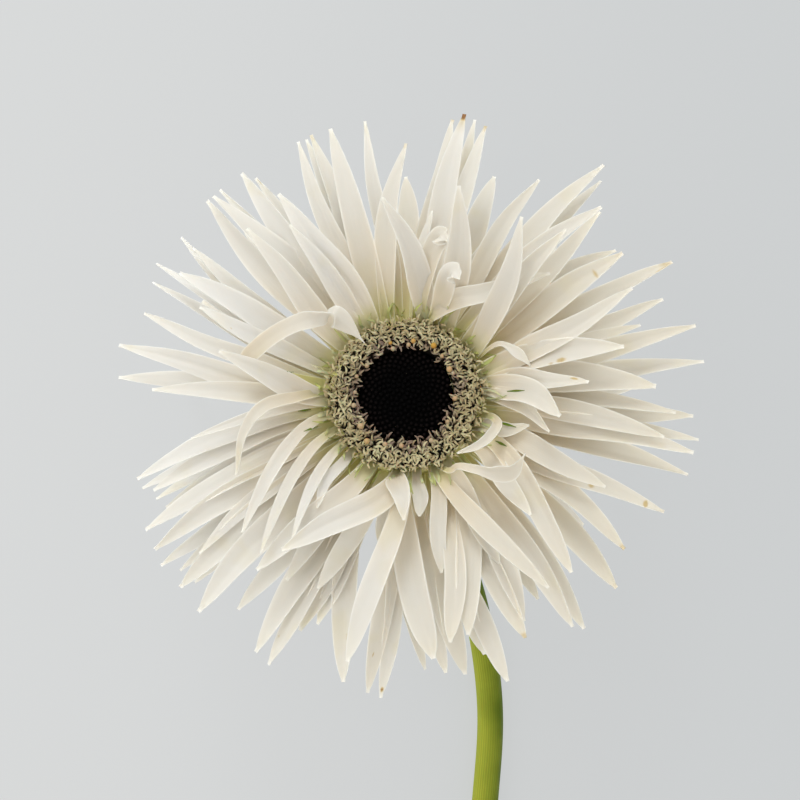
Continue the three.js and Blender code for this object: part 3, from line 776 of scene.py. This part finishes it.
def spin_profile(bm, profile):
    """Turns a profile of radii and heights about the head's axis."""
    verts = [bm.verts.new((radius, 0, height)) for radius, height in profile]
    edges = [bm.edges.new(pair) for pair in zip(verts, verts[1:])]
    bmesh.ops.spin(bm, geom=verts + edges, **SPIN)
    bmesh.ops.remove_doubles(bm, verts=bm.verts, dist=0.001)
    bmesh.ops.recalc_face_normals(bm, faces=bm.faces)


GAP = 0.3  # that the solid model leaves between its pieces
DISC_RADIUS = 9.3
RING_OUTSIDE = 15.4
RING_PITCH = 0.9  # from row to row
FLORET_PITCH = 1.5  # along a row
RING_TOP = 1.9
RING_SEED = 31
FACE_FLOOR = -1.7  # where the disc and the ring end below
LOBES = 4  # to a tube
LOBE_RISE, LOBE_BEND = 78, 105  # degrees: how steeply a lobe leaves its tube, and how far it bends over
LOBE_THICKNESS = 0.12
LOBE_LENGTH = 1.9
LOBE_WIDTH = 0.34
LOBE_FACES = (1, 8)


def ring_height(radius):
    """How high the ring's tubes end: low at the disc, and rounded over to the petals."""
    share = (radius - DISC_RADIUS) / (RING_OUTSIDE - DISC_RADIUS)
    return RING_TOP * math.sin(math.pi * min(max(0.16 + 0.72 * share, 0), 1)) ** 0.7


def lay_lobe(bm, foot, way, swirl, size, tone, place):
    """One lobe: it rises from the tube's mouth, swirls aside, and rolls over at its end."""
    count = LOBE_FACES[1]
    points, sides = [foot.copy()], []
    for step in range(count + 1):
        t = step / count
        plan, slope = way + swirl * t, math.radians(LOBE_RISE - LOBE_BEND * t)
        sides.append(Vector((-math.sin(plan), math.cos(plan), 0)))
        level = math.cos(slope)
        stride = Vector((math.cos(plan) * level, math.sin(plan) * level, math.sin(slope)))
        points.append(points[-1] + stride * LOBE_LENGTH * size / count)
    grid = bmesh.ops.create_grid(bm, x_segments=LOBE_FACES[0], y_segments=count, size=1)
    for vert in grid["verts"]:
        s, step = vert.co.x, round((vert.co.y + 1) / 2 * count)
        t = step / count
        half = LOBE_WIDTH * size / 2 * math.sqrt(1 - max(0, t - 0.5) ** 2 / 0.27)
        vert.co = points[step] + sides[step] * s * half
        mark(bm, vert, along=t, across=s, tone=tone, place=place)


bm = new_bmesh()
ring_draw = draws(RING_SEED)
florets = 0
for row in range(int((RING_OUTSIDE - DISC_RADIUS) / RING_PITCH)):
    radius = DISC_RADIUS + 1.0 + row * RING_PITCH
    count = round(math.tau * radius / FLORET_PITCH)
    for i in range(count):
        out = radius + 0.35 * next(ring_draw)
        bearing = (i + row * 0.37) * 360 / count + 3 * next(ring_draw)
        foot = around(bearing, out, ring_height(out) + 0.4 * next(ring_draw))
        place = (out - DISC_RADIUS) / (RING_OUTSIDE - DISC_RADIUS) + 0.1 * next(ring_draw)
        tone, first = next(ring_draw), math.pi * next(ring_draw)
        for lobe in range(LOBES):
            way = first + lobe * math.tau / LOBES + 0.4 * next(ring_draw)
            swirl = 1.7 + 1.3 * next(ring_draw)
            swirl *= 1 if next(ring_draw) > 0 else -1
            rim = foot + 0.3 * Vector((math.cos(way), math.sin(way), 0))
            lay_lobe(bm, rim, way, swirl, 1 + 0.25 * next(ring_draw), tone, place)
        florets += 1
print("curled florets:", florets)
make_piece(bm, "curled_florets", "trans_florets", CURL, FACE_TO_PLACE, LOBE_THICKNESS)

bm = new_bmesh()
inner = DISC_RADIUS + GAP
bed = [
    (inner, FACE_FLOOR), (12.9, FACE_FLOOR), (14.3, -0.6), (14.3, 0.1), (13, 0.9), (11.4, 0.9), (inner, 0),
]
spin_profile(bm, [*bed, bed[0]])
make_piece(bm, "painted_shade_floret_bed", "trans_florets", PAINTED_SHADE_BED, FACE_TO_PLACE)

# %% [markdown]
# Some florets near the disc are still closed: round straw-coloured beads among the curls, three of them
# dusted orange by pollen. They are listed as they lie, with a bearing, a distance, a size and a tone.

# %% Beads among the curls
BEADS = [
    (143, 9.5, 0.5, 0.2), (105, 9.4, 0.5, 0.1), (28, 9.9, 0.62, 0.4), (-7, 9.9, 0.55, 0.3),
    (217, 10.9, 0.66, 0.3), (232, 12.2, 0.6, 0.5), (249, 11, 0.5, 0.2), (266, 10.6, 0.5, 0.3),
    (298, 10.9, 0.5, 0.1), (59, 11, 0.6, 1), (81, 10.6, 0.5, 0.8), (86, 9.8, 0.45, 0.2),
    (106, 10.6, 0.4, 0.9), (193, 10.4, 0.5, 0.1), (22, 10.2, 0.42, 0), (120, 9.5, 0.4, 0),
    (160, 10.2, 0.42, 0.2), (178, 9.9, 0.4, 0.1), (325, 10.2, 0.42, 0.2), (45, 10.3, 0.4, 0.3),
]
BEAD_RISE = 1.25
BEAD_STRETCH = 1.25
BEAD_FACES = {"u_segments": 12, "v_segments": 8}


def lay_bud(bm, place, radius, stretch, faces):
    """A small sphere drawn out upwards."""
    matrix = Matrix.Translation(place) @ Matrix.Diagonal((1, 1, stretch, 1))
    return bmesh.ops.create_uvsphere(bm, **faces, radius=radius, matrix=matrix)["verts"]


def bead_finish():
    finish = Finish("closed_bead", Subsurface_Weight=0.3, Subsurface_Scale=0.8 * MM, Specular_IOR_Level=0.4)
    straw = finish.mix(finish.layer("tone"), colour(0.62, 0.5, 0.34), colour(0.7, 0.4, 0.07))
    return finish.feed(Base_Color=straw, Roughness=0.45 + finish.noise(900) * 0.2)


bm = new_bmesh()
for bearing, radius, size, tone in BEADS:
    place = around(bearing, radius, ring_height(radius) + BEAD_RISE)
    for vert in lay_bud(bm, place, size, BEAD_STRETCH, BEAD_FACES):
        mark(bm, vert, tone=tone)
make_piece(bm, "closed_beads", "trans_florets", bead_finish(), FACE_TO_PLACE)

# %% [markdown]
# ## The dark disc
#
# The disc is a low dome packed with closed buds. Buds grow one after another, each turned by the golden
# angle from the one before, and that one rule makes the crossing spirals of every daisy. Each bud is a
# small sphere drawn out upwards, as the beads are. Their colour is a maroon so deep that it reads as black,
# and the tips of the outer ones are painted slightly paler, as painted highlights that show that the disc
# isn't flat.

# %% Disc buds
GOLDEN_ANGLE = 137.508
BUD_COUNT = 250
BUD_RADIUS = 0.5
BUD_STRETCH = 1.7
BUD_FACES = {"u_segments": 7, "v_segments": 5}
DOME_HEIGHT = 1.7
DOME_DROP = 1.3  # from the middle to the edge


def dome_height(radius):
    return DOME_HEIGHT - DOME_DROP * (radius / DISC_RADIUS) ** 2


def bud_finish():
    finish = Finish("maroon_bud", Specular_IOR_Level=0.06)
    # The tips of the outer buds are painted paler, as painted highlights.
    tip = finish.layer("along").ramp(0.7, 1) * finish.layer("tone").ramp(0.45, 1) * 0.8
    maroon = finish.mix(tip, colour(0.0012, 0.0009, 0.001), colour(0.013, 0.0085, 0.008))
    return finish.feed(Base_Color=maroon, Roughness=0.65 + finish.noise(900) * 0.2)


BUD = bud_finish()
bm = new_bmesh()
for i in range(BUD_COUNT):
    radius = (DISC_RADIUS - 0.35) * math.sqrt((i + 0.5) / BUD_COUNT)
    place = around(i * GOLDEN_ANGLE, radius, dome_height(radius))
    for vert in lay_bud(bm, place, BUD_RADIUS, BUD_STRETCH, BUD_FACES):
        up = (vert.co.z - dome_height(radius)) / (BUD_STRETCH * BUD_RADIUS)
        mark(bm, vert, along=up * 0.5 + 0.5, tone=radius / DISC_RADIUS)
make_piece(bm, "disc_buds", "disc_florets", BUD, FACE_TO_PLACE)

bm = new_bmesh()
dome = [(DISC_RADIUS * k, dome_height(DISC_RADIUS * k)) for k in (1, 0.75, 0.5, 0.25, 0)]
spin_profile(bm, [(0, FACE_FLOOR), (DISC_RADIUS, FACE_FLOOR), *dome])
make_piece(bm, "disc_dome", "disc_florets", BUD, FACE_TO_PLACE)

# %% [markdown]
# ## The green cup
#
# Behind the petals the head is held by the involucre, a green cup under rows of narrow bracts that overlap
# like roof tiles. From above it hardly shows, but anyone who turns the flower over meets it first. The cup
# is a spun profile, and the bracts are small blades made by the petals' own function.


# %% Green finishes
def green_finish(name, pale, deep, tip, stripes, painted_side_shade=0.0):
    finish = Finish(name, Subsurface_Weight=0.12, Subsurface_Scale=1.0 * MM, Specular_IOR_Level=0.2)
    along, across, tone = finish.layer("along"), finish.layer("across"), finish.layer("tone")
    cloud = finish.noise(90)
    lines = (across * stripes + cloud * 2).math("SINE") * 0.5 + 0.5
    # The sine of the turn round a stem paints one side deeper green and the other paler, as painted shade.
    green_depth_and_painted_shade = cloud.ramp(0.3, 0.7) * 0.3 + 0.28 + tone * 0.1 + across.math("SINE") * painted_side_shade
    green = finish.mix(green_depth_and_painted_shade, pale, deep)
    lined = finish.mix(lines * 0.3, green, deep)
    tipped = finish.mix(along.ramp(0.8, 1), lined, tip)
    relief = finish.bump(lines * 0.7 + finish.noise(900, 2.0) * 0.6, 0.35, 0.15)
    return finish.feed(Base_Color=tipped, Roughness=0.5 + cloud * 0.15, Normal=relief)


BRACT = green_finish(
    "hairy_bract", colour(0.3, 0.38, 0.1), colour(0.13, 0.22, 0.035), colour(0.2, 0.1, 0.07), stripes=14
)

# %% Grow the cup and its bracts
RAY_CORE_RADIUS = 15
CUP_PROFILE = [
    (0, -19), (3.4, -19), (5.6, -18.2), (8.2, -16.6), (10.8, -14.2), (12.6, -11.8), (13.6, -9.6),
    (14.2, -7.3), (0, -7.2),
]
BRACT_SEED = 9
BRACT_FACES = (4, 12)
BRACT_THICKNESS = 0.5
BRACT_ROWS = [  # with the radii and heights that a bract's line is pulled by
    {"count": 16, "foot": (5, -17.9), "elbow": (11.6, -15.9), "tip": (15.2, -11.4), "width": 3.6},
    {"count": 16, "foot": (6.5, -17), "elbow": (12.8, -14.8), "tip": (16.6, -10.2), "width": 3.4},
    {"count": 20, "foot": (9.5, -14.6), "elbow": (14.8, -11.9), "tip": (19, -9.2), "width": 3},
]
AXIS = Vector((0, 0, 1))

bm = new_bmesh()
spin_profile(bm, CUP_PROFILE)
make_piece(bm, "cup", "involucre", BRACT, FACE_TO_PLACE)

bm = new_bmesh()
bract_draw = draws(BRACT_SEED)
for row, bracts in enumerate(BRACT_ROWS):
    for i in range(bracts["count"]):
        bearing = (i + row / 2) * 360 / bracts["count"] + 3 * next(bract_draw)
        handles = [around(bearing, *bracts[part]) for part in ("foot", "elbow", "tip")]
        handles[2] += Vector((0, 0, 0.5 * next(bract_draw)))
        style = {"roll": 6 * next(bract_draw), "channel": -0.25, "tip_roll": 1, "tone": next(bract_draw)}
        lay_blade(bm, bezier(*handles), bracts["width"], facing=-AXIS, faces=BRACT_FACES, **style)
make_piece(bm, "bracts", "involucre", BRACT, FACE_TO_PLACE, BRACT_THICKNESS)

# The florets' roots: a pale round plate under the face, which closes the head between the cup and the curls.
bm = new_bmesh()
spin_profile(bm, [(0, -6.9), (RAY_CORE_RADIUS, -6.9), (RAY_CORE_RADIUS, -2.4), (13.5, -2), (0, -2)])
make_piece(bm, "petal_roots", "ray_florets", PETAL, FACE_TO_PLACE)

# %% [markdown]
# ## The stem
#
# The stem leaves the cup, bends over and lies along the surface. It is a grid again, rolled into a tube
# along its line and merged at the seam. A curve with a round bevel would be shorter to write, but it has no
# ribs. One side of the stem is painted a deeper green and the other paler, as painted shade. The cut itself
# is a face that is inset twice: a pale rim, a green slope inside it, and a pale pith that has sunk a little.

# %% Stem line
CUP_DEPTH = 19
STEM_RADIUS = 2.7
STEM_TOP_RADIUS = 3.4
STEM_CUT_RADIUS = 3.2
STEM_AROUND = 44  # faces
STEM_STEPS = 170
NECK_SHARE = 0.12  # of the steps
STEM_RIBS = 11
RIB_DEPTH = 0.018  # as a share of the radius
CUT_RIM, CUT_SLOPE = 0.45, 1.3  # how wide they are
PITH_DEPTH = 0.5
STEM_ROUTE = [  # from the head's centre, to +X and +Y
    (15, -45), (18.1, -66), (17, -87), (13.6, -118), (9.4, -165), (5.6, -225), (3.6, -285), (3.4, -342),
]

top = on_face(0, 0, -CUP_DEPTH - GAP)
floor = STEM_RADIUS - HEAD_CENTRE.z  # the height of the lying stem's middle line
steepness = math.acos(math.hypot(FACE_AXIS.x, FACE_AXIS.y))  # of the neck where it leaves the cup
onward = Vector((-FACE_AXIS.x, -FACE_AXIS.y, 0)).normalized()
bend = (top.z - floor) / (1 - math.cos(steepness))
landing = top + onward * bend * math.sin(steepness)
lying = through([Vector((x, y, floor)) for x, y in [landing.xy, *STEM_ROUTE]])


def stem_line(t):
    """The neck's arc, and then the route along the surface."""
    if t >= NECK_SHARE:
        return lying((t - NECK_SHARE) / (1 - NECK_SHARE))
    angle = steepness * (1 - t / NECK_SHARE)
    point = top + onward * bend * (math.sin(steepness) - math.sin(angle))
    point.z = floor + bend * (1 - math.cos(angle))
    return point


def stem_radius(t):
    neck, rest = smooth(t / NECK_SHARE), max(0, t - NECK_SHARE) / (1 - NECK_SHARE)
    return STEM_TOP_RADIUS + (STEM_RADIUS - STEM_TOP_RADIUS) * neck + (STEM_CUT_RADIUS - STEM_RADIUS) * rest


# %% Roll the stem
STEM = green_finish(
    "ribbed_stem",
    colour(0.56, 0.62, 0.06),
    colour(0.11, 0.17, 0.003),
    colour(0.3, 0.36, 0.08),
    stripes=34,
    # one side of the stem is painted darker, as painted shade
    painted_side_shade=0.55,
)


def pith_finish():
    finish = Finish("cut_pith", Subsurface_Weight=0.2, Subsurface_Scale=1.0 * MM)
    pale = finish.mix(finish.noise(1400, 4.0), colour(0.45, 0.52, 0.24), colour(0.72, 0.72, 0.48))
    return finish.feed(Base_Color=pale, Roughness=0.6 + finish.noise(500) * 0.2)


bm = new_bmesh()
grid = bmesh.ops.create_grid(bm, x_segments=STEM_AROUND, y_segments=STEM_STEPS, size=1)
for vert in grid["verts"]:
    turn, t = math.pi * vert.co.x, (vert.co.y + 1) / 2
    centre, along = stem_line(t), heading(stem_line, t)
    side = along.cross(AXIS).normalized()
    up = side.cross(along)
    radius = stem_radius(t)
    # The ribs wander round the stem a little, and it isn't quite even along its length.
    ribs = RIB_DEPTH * (1 - math.cos(STEM_RIBS * turn + 3 * math.sin(5 * t)))
    uneven = 0.99 - ribs - 0.01 * math.sin(19 * t + turn)
    lift = AXIS * (radius - STEM_RADIUS) * smooth(t / NECK_SHARE - 1)
    vert.co = centre + lift + (up * math.cos(turn) - side * math.sin(turn)) * radius * uneven
    mark(bm, vert, along=0.5, across=turn, tone=math.sin(7 * t))
bmesh.ops.remove_doubles(bm, verts=bm.verts, dist=0.02)
caps = bmesh.ops.holes_fill(bm, edges=[edge for edge in bm.edges if edge.is_boundary], sides=0)["faces"]
bmesh.ops.recalc_face_normals(bm, faces=bm.faces)
cut = min(caps, key=lambda face: face.calc_center_median().y)
rim = bmesh.ops.inset_region(bm, faces=[cut], thickness=CUT_RIM, depth=0.05)["faces"]
bmesh.ops.inset_region(bm, faces=[cut], thickness=CUT_SLOPE, depth=-PITH_DEPTH)
for face in [cut, *rim]:
    face.material_index = 1
stem = make_piece(bm, "ribbed_stem", "stem", STEM)
stem.data.materials.append(pith_finish())

# %% [markdown]
# ## The surface, the light and the camera
#
# The photograph's background is pale, and paler on its left. Here the flower lies on a pale surface that
# glows a little, and more so on its left. The camera looks straight down on the face, from the distance
# that the reaches are read at. A light sky does most of the lighting, as the photograph has hardly any
# shadows. One large soft light at the picture's top and a weak one at the left give the petals their shape,
# and leave those that lean towards the camera in shade. A smaller light would draw hard edges that the
# photograph lacks.


# %% Surface
def surface_finish():
    finish = Finish("pale_surface", Specular_IOR_Level=0.1, Emission_Strength=0.562)
    place = finish.add("SeparateXYZ", None, {0: finish.add("TexCoord", output="Object")})
    glow = finish.mix((place * 5 + 0.5).ramp(0, 1), colour(1.02, 1.035, 1.04), colour(0.9, 0.925, 0.94))
    pale = finish.mix(finish.noise(3, 2.0), colour(0.13, 0.135, 0.135), colour(0.14, 0.145, 0.145))
    return finish.feed(Base_Color=pale, Emission_Color=glow, Roughness=0.8 + finish.noise(200) * 0.1)


SURFACE_SIZE = 4  # metres from its middle to a side
bm = bmesh.new()
bmesh.ops.create_grid(bm, x_segments=1, y_segments=1, size=SURFACE_SIZE)
surface_mesh = bpy.data.meshes.new("surface")
bm.to_mesh(surface_mesh)
bm.free()
surface_mesh.materials.append(surface_finish())
surface = bpy.data.objects.new("surface", surface_mesh)
bpy.context.scene.collection.objects.link(surface)

# %% Light
LIGHTS = {  # place from the head's centre and size in metres, power in watts, colour
    "key": (Vector((-0.2, 1.2, 0.85)), 0.5, 4.4, (0.94, 1.0, 1.05)),
    "fill": (Vector((-0.34, 0.1, 0.45)), 0.4, 0.35, (1.0, 0.99, 0.97)),
}
SKY_COLOUR = (1.0, 0.98, 0.935, 1)
SKY_STRENGTH = 0.64

head = HEAD_CENTRE * MM
for name, (place, size, power, tint) in LIGHTS.items():
    lamp = bpy.data.lights.new(name, "AREA")
    lamp.shape, lamp.size, lamp.energy, lamp.color = "DISK", size, power, tint
    light = bpy.data.objects.new(name, lamp)
    light.location = head + place
    light.rotation_euler = (-place).to_track_quat("-Z", "Y").to_euler()
    bpy.context.scene.collection.objects.link(light)

sky = bpy.data.worlds.new("sky")
sky.use_nodes = True
sky.node_tree.nodes["Background"].inputs["Color"].default_value = SKY_COLOUR
sky.node_tree.nodes["Background"].inputs["Strength"].default_value = SKY_STRENGTH
bpy.context.scene.world = sky
bpy.context.scene.view_settings.view_transform = "Standard"

# %% Camera
LENS = 100
SENSOR = 36
CAMERA_SHIFT = Vector((-1.2, -0.8, 0)) * MM  # the head's centre lies a little right of and over the middle

camera_data = bpy.data.cameras.new("camera")
camera_data.lens = LENS
camera_data.sensor_width = SENSOR
camera_data.clip_start = 0.05
camera = bpy.data.objects.new("camera", camera_data)
camera.location = head + CAMERA_SHIFT + Vector((0, 0, VIEW_DISTANCE * MM))
bpy.context.scene.collection.objects.link(camera)
bpy.context.scene.camera = camera
